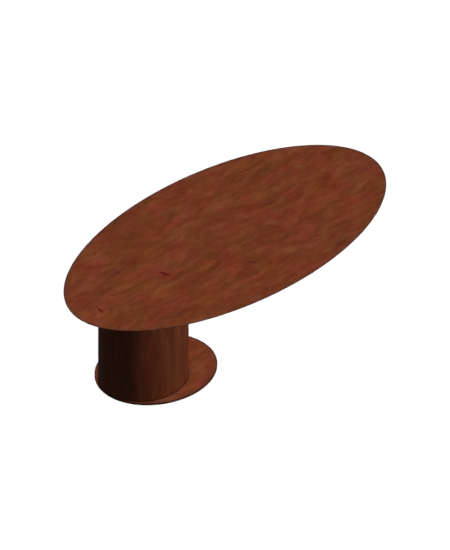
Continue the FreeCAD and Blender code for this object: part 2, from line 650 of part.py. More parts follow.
def make_base():
    plate = new_body("base_plate", PLATE_X, z=PLATE_Z)
    ellipse_plate(plate, "Sizes.plate_length", "Sizes.plate_width", "Sizes.plate_thickness")
    plain_holes(plate, "leveller_holes", LEVELLER_POINTS, STUD_HOLE, "Sizes.plate_thickness")
    flush_groups = (
        ("foot_holes", FOOT_BOLT_POINTS, FLANGE_CLEAR, FLANGE_HEAD),
        ("ballast_holes", BALLAST_POINTS, FLANGE_CLEAR, FLANGE_HEAD),
        ("screw_holes", SCREW_POINTS, SCREW_CLEAR, SCREW_HEAD),
    )
    for label, points, diameter, head in flush_groups:
        sketch = new_sketch(plate, label)
        add_circles(sketch, shifted(points, DRUM_ON_PLATE), diameter)
        countersink(plate, sketch, diameter, head, from_below=True)

    skin = new_body("base_skin", PLATE_X, z=PLATE_TOP_Z)
    opening = (OPENING_L, OPENING_W, DRUM_ON_PLATE)
    ellipse_plate(skin, "Sizes.plate_length", "Sizes.plate_width", "Sizes.skin_thickness", opening)
    screws = shifted(SCREW_POINTS, DRUM_ON_PLATE)
    plain_holes(skin, "screw_holes", screws, SCREW_CLEAR, "Sizes.skin_thickness")


def make_levellers():
    """A stud screwed into the base plate, with a pad moulded on its lower end."""
    for number, (x, y) in enumerate(shifted(LEVELLER_POINTS, PLATE_X), 1):
        foot = new_body(f"leveller_{number}_pad", x, y)
        disc = round_plate(foot, "Sizes.pad_diameter", "Sizes.pad_thickness")
        edge = foot.newObject("PartDesign::Chamfer", f"leveller_{number}_pad_edge")
        edge.Base = (disc, edges_at(disc, 0))
        edge.setExpression("Size", "Sizes.pad_chamfer")
        doc.recompute()
        socket = new_sketch(foot, "socket", lift="Sizes.pad_web")
        add_circles(socket, [("0", "0")], STUD_HOLE)
        pocket_up(foot, socket, "(Sizes.pad_thickness - Sizes.pad_web)")

        stud = new_body(f"leveller_{number}_stud", x, y, "Sizes.pad_web")
        length = f"({PLATE_TOP_Z} - Sizes.stud_recess - Sizes.pad_web)"
        rod = round_plate(stud, "Sizes.stud_diameter", length)
        tip = stud.newObject("PartDesign::Chamfer", f"leveller_{number}_stud_tip")
        tip.Base = (rod, edges_at(rod, value(length)))
        tip.setExpression("Size", "Sizes.stud_chamfer")


def check_document():
    """Stops if an object of the document failed or a piece has no sound solid."""
    for item in doc.Objects:
        if "Invalid" in item.State or "Error" in item.State:
            raise RuntimeError(f"{item.Label} is {item.State}")
    for piece in pieces:
        shape = piece.Shape
        if shape.isNull() or not shape.isValid() or not shape.Solids:
            raise RuntimeError(f"{piece.Label} has no sound solid")


def main():
    make_top_face()
    make_top_core()
    make_lipping()
    make_beams()
    make_inserts()
    make_beam_bolts()
    make_head_joint()
    make_post()
    make_drum_shell()
    make_battens()
    make_formers()
    make_drum_screws()
    make_ballast()
    make_base()
    make_levellers()
    doc.recompute()
    check_document()
    os.makedirs("parts", exist_ok=True)
    for piece in pieces:
        piece.Shape.exportStep(f"parts/{piece.Label}.step")
        print(f"{piece.Label}: {len(piece.Shape.Solids)} solids, {piece.Shape.Volume / 1e6:.4f} dm3")


main()
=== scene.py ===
"""Looks of the dining table: cherry veneer, bevelled lipping, drum, base and steelwork.

Metres, in the model's own frame: +X along the top to its free end, +Z up, the floor at z = 0.
"""
import json
import math

import bmesh
import bpy
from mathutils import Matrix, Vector


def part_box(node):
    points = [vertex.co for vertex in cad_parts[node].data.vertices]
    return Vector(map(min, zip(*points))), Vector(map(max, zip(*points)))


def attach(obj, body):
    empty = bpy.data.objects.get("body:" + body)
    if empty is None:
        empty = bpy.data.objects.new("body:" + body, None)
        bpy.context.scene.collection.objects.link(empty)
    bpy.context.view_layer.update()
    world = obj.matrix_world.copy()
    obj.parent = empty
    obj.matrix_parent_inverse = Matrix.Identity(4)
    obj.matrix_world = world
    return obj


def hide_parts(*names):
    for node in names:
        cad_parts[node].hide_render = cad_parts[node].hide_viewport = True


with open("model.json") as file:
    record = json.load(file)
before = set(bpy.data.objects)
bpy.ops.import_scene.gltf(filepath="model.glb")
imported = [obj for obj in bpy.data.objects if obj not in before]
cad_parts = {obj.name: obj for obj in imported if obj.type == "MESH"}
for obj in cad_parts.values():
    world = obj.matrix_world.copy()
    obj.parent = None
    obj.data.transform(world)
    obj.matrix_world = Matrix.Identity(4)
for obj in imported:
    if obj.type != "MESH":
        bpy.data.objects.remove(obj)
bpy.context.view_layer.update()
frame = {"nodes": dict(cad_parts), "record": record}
nodes = frame["nodes"]

# The camera looks along an isometric line, with no perspective
VIEW_AZIMUTH = math.radians(-45)
VIEW_ELEVATION = math.atan(math.sqrt(0.5))
VIEW_HEIGHT = 3.6645
VIEW_AIM = Vector((0.0005, -0.0005, 0.4503))
VIEW_DISTANCE = 12.0
VIEW_DEPTH = 100.0

# Top and lipping: the lipping's joints are angles from +X, in degrees
TOP_SHARES = (0.25, 0.5, 0.75, 0.93)
ARRIS = 0.0004
BEVEL = 0.110
SHELF = 0.020
JOINT_ANGLES = (18, 58)

# Drum and the wooden face of the base plate, which is open under the drum
DRUM_WALL = 0.012
DRUM_ROUND = 0.0012
SKIN_ROUND = 0.0006
SKIN_OPENING = 0.006
SKIN_SHARES = (0.04, 0.09, 0.17, 0.5, 0.8, 0.9, 0.97)
FLAT_MARGIN = 0.0008

# Made darker: a line and a fading band at each rim, painted shade at the drum's foot and painted shadow
# in the recess under it
EDGE_LINE = 0.007
EDGE_FADE = 0.034
EDGE_INSETS = (EDGE_LINE + EDGE_FADE, EDGE_LINE + EDGE_FADE / 2, EDGE_LINE)
RECESS_REACH = 0.0036
FOOT_SHADE = 0.030

# The recess's rings: how far out from the drum, and the least inset from the rim in widths of its edge
RECESS_RINGS = ((RECESS_REACH - FLAT_MARGIN, 1.3), (RECESS_REACH, 1.15))

# How dark it is made there: 0 in the open, 1 where a rim's band is full, and more in the painted shade
# and shadow at the drum's foot
LINE_DARKNESS = 1.4
PAINTED_FOOT_SHADE = 1.12
PAINTED_RECESS_SHADOW = 2.0

# Bolts: shank radius, head radius, and the width and depth of the socket for a hexagon key
BOLT_RADIUS = 0.004
BUTTON_RADIUS = 0.0065
BUTTON_SOCKET = (0.005, 0.0026)
SUNK_BOLT = (0.006, 0.0119, (0.008, 0.0045))
SUNK_SCREW = (0.0025, 0.0049, (0.003, 0.0018))

# Button heads have a straight rim under the dome, sunk heads a narrow land, and shanks a chamfered tip
BUTTON_RIM = 0.0007
BUTTON_CROWN = 0.56
BUTTON_TIP = 0.82
BUTTON_CHAMFER = 0.0012
SUNK_LAND = 0.0004
SUNK_CHAMFER = 0.2
SOCKET_MOUTH = 0.62
SOCKET_LEAD = 0.04
SOCKET_FLOOR = 1.12

# Levelling feet: each edge is a row of inset, distance from the face and flute, as shares of the sizes
PAD_ROUND = 0.0006
PAD_SLOPE = 0.001
PAD_FLUTE = 0.0004
PAD_UPPER_EDGE = ((3.0, 0.0, 0.0), (1.0, 0.0, 0.5), (0.3, 0.3, 1.0), (0.0, 1.0, 1.0))
PAD_LOWER_EDGE = ((0.0, 1.3, 1.0), (0.25, 0.6, 1.0), (0.8, 0.12, 0.5), (1.6, 0.0, 0.0))
PAD_SOLE = 0.5
STUD_PITCH = 0.0015
STUD_THREAD = 0.0007

# How many there are of each small thing
BEAM_BOLT_ROW = 7
FOOT_BOLTS = 8
BALLAST_BOLTS = 4
DRUM_SCREWS = 6
LEVELLERS = 6
PAD_FLUTES = 32

# How finely curves are divided, and the angles in degrees past which an edge is sharp
RIM_STEPS = 288
DRUM_STEPS = 192
SEGMENT_STEPS = 30
ROUND_STEPS = 5
BOLT_STEPS = 24
FLUTE_STEPS = 6
THREAD_STEPS = 8
SHARP = 35
LIPPING_SHARP = 15
THREAD_SHARP = 50

# Floor and the light of the surroundings
FLOOR_SIZE = 200.0
FLOOR_CELLS = 0.8
FLOOR_TONES = ((0.95, 0.95, 0.95, 1.0), (0.96, 0.96, 0.96, 1.0))
WORLD_GLOW = 0.042


def srgb(red, green, blue):
    """A screen colour, 0 to 255, as the linear colour that a shader takes."""
    linear = []
    for level in (red, green, blue):
        share = level / 255
        linear.append(share / 12.92 if share <= 0.04045 else ((share + 0.055) / 1.055) ** 2.4)
    return (*linear, 1.0)


# Most of a noise lies in this band
NOISE_BAND = (0.3, 0.7)

# Layers of the wood: cells per metre along and across the grain, detail, roughness and offset
DRIFT = (1.2, 2.8, 2, 0.5, (0.0, 0.0, 0.0))
CURL = (7.0, 11.0, 2, 0.5, (4.4, 8.1, 6.6))
STREAKS = (7.0, 20.0, 6, 0.62, (0.0, 0.0, 0.0))
CLOUDS = (3.6, 8.0, 2, 0.5, (3.1, 7.7, 1.3))
HUES = (5.5, 8.5, 5, 0.72, (9.4, 2.2, 5.8))
TINTS = (4.5, 7.0, 4, 0.65, (2.6, 9.1, 4.3))
DASHES = (8.0, 36.0, 4, 0.6, (6.1, 3.3, 2.4))
FIBRES = (18.0, 620.0, 3, 0.6, (0.0, 0.0, 0.0))
PORES = (95.0, 1500.0, 1, 0.5, (1.7, 4.9, 0.6))

# Colours of the wood, and what its dashes, fibres, pores and edges do to them
STREAK_SHARE = 0.68
CHERRY_TONES = (
    (0.30, srgb(91, 42, 19)),
    (0.50, srgb(111, 54, 30)),
    (0.70, srgb(131, 68, 44)),
)
CHERRY_HUES = (
    (0.34, (0.99, 1.20, 1.05, 1.0)),
    (0.66, (1.01, 0.78, 0.96, 1.0)),
)
CHERRY_TINTS = (
    (0.36, (1.0, 1.0, 0.84, 1.0)),
    (0.64, (1.0, 1.0, 1.18, 1.0)),
)
# Darker towards the edges; the dark end is the painted shadow in the recess at the drum's foot
EDGE_TONES = (
    (0.00, (1.0, 1.0, 1.0, 1.0)),
    (0.50, (0.80, 1.00, 1.40, 1.0)),
    (0.60, (0.36, 0.38, 0.42, 1.0)),
    (1.00, (0.05, 0.05, 0.05, 1.0)),
)
DASH_BAND = (0.56, 0.68)
DASH_LEVELS = (1.0, 0.80)
FIBRE_LEVELS = (0.9, 1.09)
PORE_BAND = (0.62, 0.7)
PORE_DEPTH = 0.34
WOOD_GLOSS_BAND = (0.3, 0.9)
WOOD_ROUGHNESS = (0.36, 0.5)
WOOD_RELIEF = 0.00008
WOOD_BUMP = 0.6

# The grain bends to and fro across the board, in long waves and a share of short ones
BEND_BAND = (0.25, 0.75)
BOARD_BEND = 0.035
DRUM_BEND = 0.008
CURL_SHARE = 0.45

# Where each board was cut from the wood, and how far the drum's grain is drawn out along its height
BOARD_STEP = Vector((3.7, 1.9, 0.0))
BASE_BOARD = Vector((8.8, 1.2, 0.0))
DRUM_BOARD = 11.0
DRUM_GRAIN = 0.45

# Dark gum flecks in the top: x, y, length, width and angle in degrees of each
GUM_FLECKS = (
    (-0.575, -0.011, 0.122, 0.026, -76),
    (-1.180, -0.009, 0.070, 0.026, -102),
)
FLECK_TONE = (0.50, 0.27, 0.13, 1.0)
FLECK_DEPTH = 10.0
FLECK_CELLS = 45.0
FLECK_RAG = (-0.22, 0.22)
FLECK_FADE = (0.4, 1.0)

# Paint, metal and plastic: a broad noise and a close one
BROAD_SHARE = 0.7
CLOSE_RATIO = 12
CLOSE_SHIFT = (2.3, 5.1, 8.7)
MOTTLE_BUMP = 0.5
PAINT_SPECKS = 900.0

# Plywood: glue lines at each ply, and black paint up to a little above the drum's foot, which also
# stands in for the gap's shade
PLY_CELLS = (3.0, 45.0, 45.0)
PLY_TONES = ((176, 134, 92), (206, 170, 126))
PLY = 0.0015
GLUE_BAND = (0.0004, 0.0011)
GLUE_LEVELS = (0.72, 1.0)
PAINT_AND_SHADE_RISE = 0.001
PAINT_AND_SHADE_FADE = 0.0004
PAINT_AND_SHADE_LEVELS = (0.05, 1.0)
PLY_ROUGHNESS = (0.62, 0.76)
PLY_RELIEF = 0.0001


def even(cells):
    """As many cells per metre along every axis."""
    return (cells, cells, cells)


def two_tones(dark, light):
    """Stops from one colour to another over most of a noise."""
    return tuple(zip(NOISE_BAND, (dark, light)))


class Finish:
    """A node material round one principled surface."""

    def __init__(self, name, **constants):
        self.material = bpy.data.materials.new(name)
        self.material.use_nodes = True
        self.tree = self.material.node_tree
        self.surface = self.tree.nodes["Principled BSDF"]
        for socket, number in constants.items():
            self.surface.inputs[socket.replace("_", " ")].default_value = number

    def node(self, kind, inputs=None, **settings):
        made = self.tree.nodes.new("ShaderNode" + kind)
        for name, setting in settings.items():
            setattr(made, name, setting)
        for key, given in (inputs or {}).items():
            if isinstance(given, bpy.types.NodeSocket):
                self.tree.links.new(given, made.inputs[key])
            else:
                made.inputs[key].default_value = given
        return made

    def noise(self, place, cells, detail, roughness=0.5, shift=(0.0, 0.0, 0.0)):
        """Noise with this many cells per metre along each axis."""
        scaled = self.node("Mapping", {"Vector": place, "Location": shift, "Scale": cells})
        inputs = {"Vector": scaled.outputs[0], "Scale": 1.0, "Detail": detail, "Roughness": roughness}
        return self.node("TexNoise", inputs).outputs[0]

    def layer(self, place, sizes):
        """Noise drawn out along the grain."""
        along, across, detail, roughness, shift = sizes
        return self.noise(place, (along, across, across), detail, roughness, shift)

    def ramp(self, factor, stops):
        made = self.node("ValToRGB", {0: factor})
        elements = made.color_ramp.elements
        while len(elements) < len(stops):
            elements.new(1.0)
        for element, (position, colour) in zip(elements, stops):
            element.position = position
            element.color = colour
        return made.outputs[0]

    def span(self, factor, band, levels):
        """Goes smoothly from one level to the other across the band."""
        inputs = {0: factor, 1: band[0], 2: band[1], 3: levels[0], 4: levels[1]}
        return self.node("MapRange", inputs, interpolation_type="SMOOTHSTEP").outputs[0]

    def calc(self, operation, first, second):
        return self.node("Math", {0: first, 1: second}, operation=operation).outputs[0]

    def weighed(self, first, second, share):
        """This share of the first factor, and of the second the rest."""
        rest = self.calc("MULTIPLY", second, 1 - share)
        return self.calc("ADD", self.calc("MULTIPLY", first, share), rest)

    def toned(self, colour, tone, factor=1.0):
        """The colour multiplied by another, as far as the factor says."""
        inputs = {0: factor, 6: colour, 7: tone}
        return self.node("Mix", inputs, data_type="RGBA", blend_type="MULTIPLY").outputs[2]

    def shaded(self, colour, level):
        """The colour times a grey level."""
        grey = self.node("CombineColor", {0: level, 1: level, 2: level}).outputs[0]
        return self.toned(colour, grey)

    def bump(self, height, distance, strength):
        inputs = {"Height": height, "Distance": distance, "Strength": strength}
        self.feed("Normal", self.node("Bump", inputs).outputs[0])

    def feed(self, socket, source):
        self.tree.links.new(source, self.surface.inputs[socket])


def fleck_mask(finish, place, flecks):
    """How far a point lies in one of the small dark flecks."""
    wander = finish.noise(place, even(FLECK_CELLS), detail=3)
    rag = finish.span(wander, NOISE_BAND, FLECK_RAG)
    covered = None
    for x, y, length, width, angle in flecks:
        inputs = {
            "Vector": place,
            "Location": (x, y, 0.0),
            "Rotation": (0.0, 0.0, math.radians(angle)),
            "Scale": (length / 2, width / 2, FLECK_DEPTH),
        }
        local = finish.node("Mapping", inputs, vector_type="TEXTURE").outputs[0]
        reach = finish.node("VectorMath", {0: local}, operation="LENGTH").outputs["Value"]
        mask = finish.span(finish.calc("ADD", reach, rag), FLECK_FADE, (1.0, 0.0))
        covered = mask if covered is None else finish.calc("MAXIMUM", covered, mask)
    return covered


def bent_grain(finish, place, bend):
    """The place in the board, moved to and fro across the grain."""
    curl = CURL_SHARE * bend
    long_bend = finish.span(finish.layer(place, DRIFT), BEND_BAND, (-bend, bend))
    short_bend = finish.span(finish.layer(place, CURL), BEND_BAND, (-curl, curl))
    sway = finish.node("CombineXYZ", {1: finish.calc("ADD", long_bend, short_bend)}).outputs[0]
    return finish.node("VectorMath", {0: place, 1: sway}, operation="ADD").outputs[0]


def wood(name, bend=BOARD_BEND, flecks=()):
    """Cherry veneer.

    The mesh attribute "grain" holds the place along, across and into the board. "rim" is how much
    darker
    the colour is made: 0 in the open, 1 near an edge and more in the line at it, painted shade near the
    drum's foot, and up to 2 in the painted shadow of a recess.
    """
    finish = Finish(name, Specular_IOR_Level=0.28)
    place = finish.node("Attribute", attribute_name="grain").outputs["Vector"]
    rim = finish.node("Attribute", attribute_name="rim").outputs["Fac"]
    bent = bent_grain(finish, place, bend)
    fibres = finish.layer(bent, FIBRES)
    open_pores = finish.span(finish.layer(bent, PORES), PORE_BAND, (0.0, 1.0))
    pore_level = finish.calc("SUBTRACT", 1.0, finish.calc("MULTIPLY", open_pores, PORE_DEPTH))
    darkness = finish.calc("MULTIPLY", rim, 1 / PAINTED_RECESS_SHADOW)

    figure = finish.weighed(finish.layer(bent, STREAKS), finish.layer(bent, CLOUDS), STREAK_SHARE)
    colour = finish.ramp(figure, CHERRY_TONES)
    colour = finish.toned(colour, finish.ramp(finish.layer(bent, HUES), CHERRY_HUES))
    colour = finish.toned(colour, finish.ramp(finish.layer(bent, TINTS), CHERRY_TINTS))
    colour = finish.shaded(colour, finish.span(finish.layer(bent, DASHES), DASH_BAND, DASH_LEVELS))
    colour = finish.shaded(colour, finish.span(fibres, NOISE_BAND, FIBRE_LEVELS))
    colour = finish.shaded(colour, pore_level)
    # Darker at the rims, with painted shade and painted shadow at the drum's foot
    colour = finish.toned(colour, finish.ramp(darkness, EDGE_TONES))
    if flecks:
        colour = finish.toned(colour, FLECK_TONE, fleck_mask(finish, place, flecks))
    finish.feed("Base Color", colour)
    uneven = finish.calc("ADD", fibres, open_pores)
    finish.feed("Roughness", finish.span(uneven, WOOD_GLOSS_BAND, WOOD_ROUGHNESS))
    finish.bump(finish.calc("SUBTRACT", fibres, open_pores), WOOD_RELIEF, WOOD_BUMP)
    return finish.material


def mottled(name, dark, light, cells, roughness, relief, specks=None, **constants):
    """A surface whose colour and gloss wander: paint, rolled or plated metal, moulded plastic."""
    finish = Finish(name, **constants)
    place = finish.node("TexCoord").outputs["Object"]
    broad = finish.noise(place, cells, detail=4)
    close_cells = even(specks) if specks else tuple(CLOSE_RATIO * cell for cell in cells)
    close = finish.noise(place, close_cells, detail=2, shift=CLOSE_SHIFT)
    mixed = finish.weighed(broad, close, BROAD_SHARE)
    finish.feed("Base Color", finish.ramp(mixed, two_tones(srgb(*dark), srgb(*light))))
    finish.feed("Roughness", finish.span(mixed, NOISE_BAND, roughness))
    finish.bump(close, relief, MOTTLE_BUMP)
    return finish.material


def plywood(name, paint_and_shade_below):
    """Birch plywood: pale faces, plies that show round the edge, and black paint in the shadow gap that
    is also painted shadow.
    """
    finish = Finish(name, Specular_IOR_Level=0.25)
    place = finish.node("TexCoord").outputs["Object"]
    face = finish.noise(place, PLY_CELLS, detail=4)
    height = finish.node("SeparateXYZ", {0: place}).outputs[2]
    line = finish.span(finish.calc("PINGPONG", height, PLY), GLUE_BAND, GLUE_LEVELS)
    paint_and_shade_band = (paint_and_shade_below - PAINT_AND_SHADE_FADE, paint_and_shade_below + PAINT_AND_SHADE_FADE)
    # Black below the drum's foot: paint, and painted shadow for the gap
    paint_and_shade = finish.span(height, paint_and_shade_band, PAINT_AND_SHADE_LEVELS)
    dark, light = PLY_TONES
    colour = finish.ramp(face, two_tones(srgb(*dark), srgb(*light)))
    finish.feed("Base Color", finish.shaded(finish.shaded(colour, line), paint_and_shade))
    finish.feed("Roughness", finish.span(face, NOISE_BAND, PLY_ROUGHNESS))
    finish.bump(face, PLY_RELIEF, MOTTLE_BUMP)
    return finish.material


FINISHES = {
    "top_wood": wood("cherry_top", flecks=GUM_FLECKS),
    "lipping_wood": wood("cherry_lipping"),
    "drum_wood": wood("cherry_drum", bend=DRUM_BEND),
    "base_wood": wood("cherry_base"),
    "underside_board": mottled(
        "backing_board", dark=(64, 38, 26), light=(80, 48, 32), cells=(2.0, 30.0, 30.0),
        roughness=(0.5, 0.62), relief=0.00008, Specular_IOR_Level=0.25),
    "plywood": plywood("birch_plywood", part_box("drum_shell")[0].z + PAINT_AND_SHADE_RISE),
    "batten_timber": mottled(
        "planed_softwood", dark=(186, 146, 98), light=(212, 176, 128), cells=(60.0, 60.0, 3.0),
        roughness=(0.6, 0.72), relief=0.0001, Specular_IOR_Level=0.25),
    "black_steel": mottled(
        "powder_coat_black", dark=(24, 24, 25), light=(34, 34, 35), cells=even(9.0),
        roughness=(0.42, 0.56), relief=0.00004, specks=PAINT_SPECKS),
    "plate_paint": mottled(
        "powder_coat_brown", dark=(78, 42, 28), light=(92, 50, 34), cells=even(9.0),
        roughness=(0.42, 0.56), relief=0.00004, specks=PAINT_SPECKS),
    "ballast_steel": mottled(
        "rolled_steel", dark=(70, 72, 76), light=(104, 106, 110), cells=even(7.0),
        roughness=(0.35, 0.6), relief=0.00006, Metallic=1.0),
    "zinc_steel": mottled(
        "zinc_plate", dark=(150, 152, 154), light=(190, 191, 190), cells=even(60.0),
        roughness=(0.26, 0.42), relief=0.00002, Metallic=1.0),
    "insert_brass": mottled(
        "turned_brass", dark=(170, 130, 62), light=(205, 166, 92), cells=(60.0, 60.0, 300.0),
        roughness=(0.24, 0.4), relief=0.00002, Metallic=1.0),
    "pad_nylon": mottled(
        "moulded_nylon", dark=(22, 22, 23), light=(33, 33, 34), cells=even(50.0),
        roughness=(0.5, 0.64), relief=0.00004),
}


class Oval:
    """An ellipse seen from above, with its axes along X and Y and its centre on the X axis."""

    def __init__(self, half_x, half_y, centre_x):
        self.half_x = half_x
        self.half_y = half_y
        self.centre_x = centre_x

    def grown(self, out):
        return Oval(self.half_x + out, self.half_y + out, self.centre_x)

    def scaled(self, share):
        return Oval(self.half_x * share, self.half_y * share, self.centre_x)

    def rays(self, steps):
        """Angles from the centre that divide the ellipse evenly by its own turn."""
        turns = [math.tau * k / steps for k in range(steps)]
        return [math.atan2(self.half_y * math.sin(t), self.half_x * math.cos(t)) for t in turns]

    def reach(self, ray):
        """From the centre to where the ray meets the ellipse."""
        turn = math.atan2(self.half_x * math.sin(ray), self.half_y * math.cos(ray))
        return self.half_x * math.cos(turn), self.half_y * math.sin(turn)

    def point(self, ray, z):
        x, y = self.reach(ray)
        return (self.centre_x + x, y, z)

    def ring(self, rays, z):
        return [self.point(ray, z) for ray in rays]

    def inset(self, co):
        """How far a point is inside the ellipse, along the ray from the centre."""
        across = co.x - self.centre_x
        edge = math.hypot(*self.reach(math.atan2(co.y, across)))
        return edge - math.hypot(across, co.y)

    def held_inside(self, ring, margin):
        """The ring, drawn in where it comes nearer than the margin to the ellipse."""
        points = []
        for x, y, z in ring:
            short = max(0.0, margin - self.inset(Vector((x, y, z))))
            kept = 1 - short / math.hypot(x - self.centre_x, y)
            points.append((self.centre_x + (x - self.centre_x) * kept, y * kept, z))
        return points


def outline_of(node):
    """The ellipse that fills a node's box."""
    low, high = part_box(node)
    centre_x = (low.x + high.x) / 2
    return Oval(high.x - centre_x, high.y, centre_x)


def top_outline():
    """The rim of the top, which is centred in the frame."""
    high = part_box("top_face")[1]
    return Oval(high.x, high.y, 0.0)


def skin(build, lower, upper):
    """Faces between two rings of vertices; a ring of one vertex is a pole."""
    count = max(len(lower), len(upper))
    for k in range(count):
        n = (k + 1) % count
        if len(lower) == 1:
            corners = (lower[0], upper[n], upper[k])
        elif len(upper) == 1:
            corners = (lower[k], lower[n], upper[0])
        else:
            corners = (lower[k], lower[n], upper[n], upper[k])
        build.faces.new(corners)


def loft(name, groups, caps=False, closed=False, sharp=SHARP):
    """One object from groups of rings: each is skinned ring by ring, and capped or closed on itself."""
    build = bmesh.new()
    for rings in groups:
        rows = [[build.verts.new(point) for point in ring] for ring in rings]
        for lower, upper in zip(rows, rows[1:]):
            skin(build, lower, upper)
        if closed:
            skin(build, rows[-1], rows[0])
        if caps:
            build.faces.new(reversed(rows[0]))
            build.faces.new(rows[-1])
    bmesh.ops.recalc_face_normals(build, faces=build.faces)
    mesh = bpy.data.meshes.new(name)
    build.to_mesh(mesh)
    build.free()
    mesh.shade_smooth()
    mesh.set_sharp_from_angle(angle=math.radians(sharp))
    piece = bpy.data.objects.new(name, mesh)
    bpy.context.scene.collection.objects.link(piece)
    return piece


def grain(piece, rule, darkness=None):
    """Stores each vertex's place in its board and its darkness, as the wood finish reads them."""
    places = piece.data.attributes.new("grain", "FLOAT_VECTOR", "POINT")
    for vertex, place in zip(piece.data.vertices, places.data):
        place.vector = rule(vertex.co)
    if darkness:
        rims = piece.data.attributes.new("rim", "FLOAT", "POINT")
        for vertex, rim in zip(piece.data.vertices, rims.data):
            rim.value = darkness(vertex.co)


def rim_darkening(inset):
    """How much darker the colour is made this far in from a rim."""
    if inset < EDGE_LINE:
        return LINE_DARKNESS - (LINE_DARKNESS - 1.0) * inset / EDGE_LINE
    return max(0.0, 1.0 - (inset - EDGE_LINE) / EDGE_FADE)


def dress(piece, slot, body, node):
    """Gives a new piece its finish and its body, and hides the node that it stands for."""
    piece.data.materials.append(FINISHES[slot])
    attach(piece, body)
    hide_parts(node)


def between(inner, outer, share):
    """The ring that lies this share of the way from one ring to another."""
    return [tuple(Vector(a).lerp(Vector(b), share)) for a, b in zip(inner, outer)]


def quarter(radius, first):
    """Offsets round a quarter circle from an angle in degrees, led in and out by a short flat."""
    angles = [math.radians(first + 90 * k / ROUND_STEPS) for k in range(ROUND_STEPS + 1)]
    arc = [(radius * math.cos(a), radius * math.sin(a)) for a in angles]
    start, end = Vector(arc[0]), Vector(arc[-1])
    into = Vector((math.sin(angles[0]), -math.cos(angles[0]))) * FLAT_MARGIN
    away = Vector((-math.sin(angles[-1]), math.cos(angles[-1]))) * FLAT_MARGIN
    return [tuple(start + into), *arc, tuple(end + away)]


def rounded_edge(outline, rays, face, radius):
    """Rings over the rounded upper edge of a board, from its face out to its side."""
    middle = outline.grown(-radius)
    offsets = reversed(quarter(radius, 0))
    return [middle.grown(out).ring(rays, face - radius + up) for out, up in offsets]


def make_top():
    low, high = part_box("top_face")
    outline = top_outline()
    rays = outline.rays(RIM_STEPS)
    rings = [
        [(0, 0, high.z)],
        *(outline.scaled(share).ring(rays, high.z) for share in TOP_SHARES),
        *(outline.grown(-inset).ring(rays, high.z) for inset in EDGE_INSETS),
        *rounded_edge(outline, rays, high.z, ARRIS),
        outline.ring(rays, low.z),
        *(outline.scaled(share).ring(rays, low.z) for share in reversed(TOP_SHARES)),
        [(0, 0, low.z)],
    ]
    piece = loft("top_veneer", [rings])
    grain(piece, lambda co: co, lambda co: rim_darkening(outline.inset(co)))
    dress(piece, "top_wood", "table", "top_face")


def make_lipping():
    """Eight boards round the rim, bevelled below, each with its grain along it."""
    low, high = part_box("lipping_1")
    outline = top_outline()
    end, side = (math.radians(angle) for angle in JOINT_ANGLES)
    half_round = (end, side, math.pi - side, math.pi - end)
    joints = [-end, *half_round, *(math.pi + angle for angle in half_round)]
    shelf = BEVEL + SHELF
    profile = ((0.0, high.z), (BEVEL, low.z), (shelf, low.z), (shelf, high.z))
    for number, (start, stop) in enumerate(zip(joints, joints[1:]), 1):
        rays = [start + (stop - start) * k / SEGMENT_STEPS for k in range(SEGMENT_STEPS + 1)]
        rings = [[outline.grown(-inset).point(ray, z) for inset, z in profile] for ray in rays]
        piece = loft(f"lipping_board_{number}", [rings], caps=True, sharp=LIPPING_SHARP)
        along = (Vector(rings[-1][0]) - Vector(rings[0][0])).normalized()
        across = Vector((-along.y, along.x, 0.0))
        board = number * BOARD_STEP
        grain(piece, lambda co: board + Vector((co.dot(along), co.dot(across), co.z)))
        dress(piece, "lipping_wood", "table", f"lipping_{number}")


def make_drum():
    low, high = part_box("drum_shell")
    outline = outline_of("drum_shell")
    rays = outline.rays(DRUM_STEPS)
    outer, inner = -DRUM_ROUND, DRUM_ROUND - DRUM_WALL
    upper, lower = high.z - DRUM_ROUND, low.z + DRUM_ROUND
    corners = ((outer, upper), (inner, upper), (inner, lower), (outer, lower))
    rings = []
    for number, (out, up) in enumerate(corners):
        for across, rise in quarter(DRUM_ROUND, 90 * number):
            rings.append(outline.grown(out + across).ring(rays, up + rise))
    piece = loft("drum_veneer", [rings], closed=True)
    radius = (outline.half_x + outline.half_y) / 2

    def upright(co):
        out = co.x - outline.centre_x
        along = DRUM_GRAIN * co.z + DRUM_BOARD
        return Vector((along, radius * math.atan2(co.y, out), math.hypot(out, co.y)))

    grain(piece, upright)
    dress(piece, "drum_wood", "table", "drum_shell")


def make_base_skin():
    """The plate's wooden face, darker at its rim, with painted shade round the drum's foot and painted
    shadow in the gap under it.
    """
    low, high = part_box("base_skin")
    outline = outline_of("base_skin")
    drum = outline_of("drum_shell")
    opening = outline_of("ballast_plate_1").grown(SKIN_OPENING)
    rays = outline.rays(RIM_STEPS)
    edge = rounded_edge(outline, rays, high.z, SKIN_ROUND)
    # Rings of the recess by the drum's foot, which is given painted shadow
    recess = []
    for out, margin in RECESS_RINGS:
        ring = drum.grown(out).ring(rays, high.z)
        recess.append(outline.held_inside(ring, margin * (SKIN_ROUND + FLAT_MARGIN)))
    rings = [
        opening.ring(rays, high.z),
        *recess,
        *(between(recess[-1], edge[0], share) for share in SKIN_SHARES),
        *edge,
        outline.ring(rays, low.z),
        opening.ring(rays, low.z),
    ]
    piece = loft("base_veneer", [rings], closed=True)

    # Painted shadow in the recess, painted shade fading out from the drum's foot, and the rim's darker
    # band
    def darkened(co):
        past_recess = -RECESS_REACH - drum.inset(co)
        if past_recess < -FLAT_MARGIN / 2:
            return PAINTED_RECESS_SHADOW
        shade_by_foot = max(0.0, 1.0 - past_recess / FOOT_SHADE)
        near_rim = rim_darkening(outline.inset(co))
        return max(near_rim, min(PAINTED_FOOT_SHADE, shade_by_foot + near_rim))

    grain(piece, lambda co: co + BASE_BOARD, darkened)
    dress(piece, "base_wood", "table", "base_skin")
    return piece


